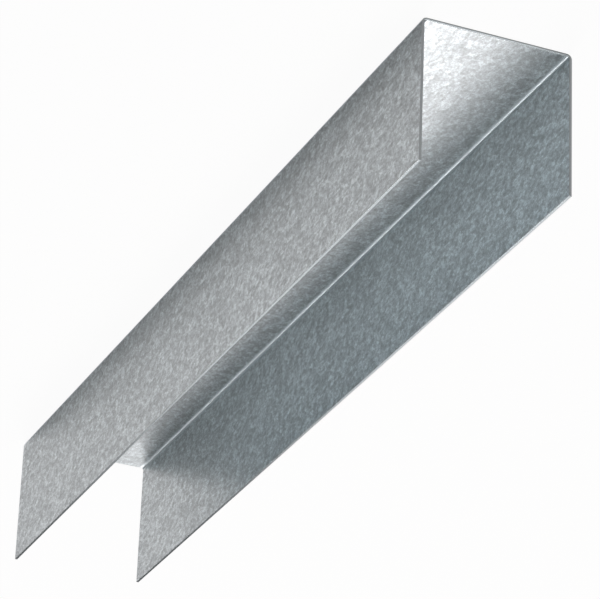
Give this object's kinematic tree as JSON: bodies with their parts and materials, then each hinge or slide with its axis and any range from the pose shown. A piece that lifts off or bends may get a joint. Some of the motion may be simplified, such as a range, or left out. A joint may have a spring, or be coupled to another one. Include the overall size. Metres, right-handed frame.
{
  "type": "drywall ceiling track",
  "caption": "Plain U-section track of thin galvanised sheet steel with two equal flanges; runs round a room's edge and takes the ends of ceiling profiles.",
  "frame": {"origin": "centre of the web's back face, the face that is fastened to the wall or ceiling", "axes": "+X along the track, +Y across it from flange to flange, +Z out of the open side from the web to the flange tips"},
  "size_m": [0.2, 0.028, 0.027],
  "materials": {
    "galvanised_steel": "hot-dip galvanised, fine matt spangle, with sheared edges"
  },
  "bodies": {
    "root": {"ceiling_track": "galvanised_steel"}
  },
  "joints": []
}
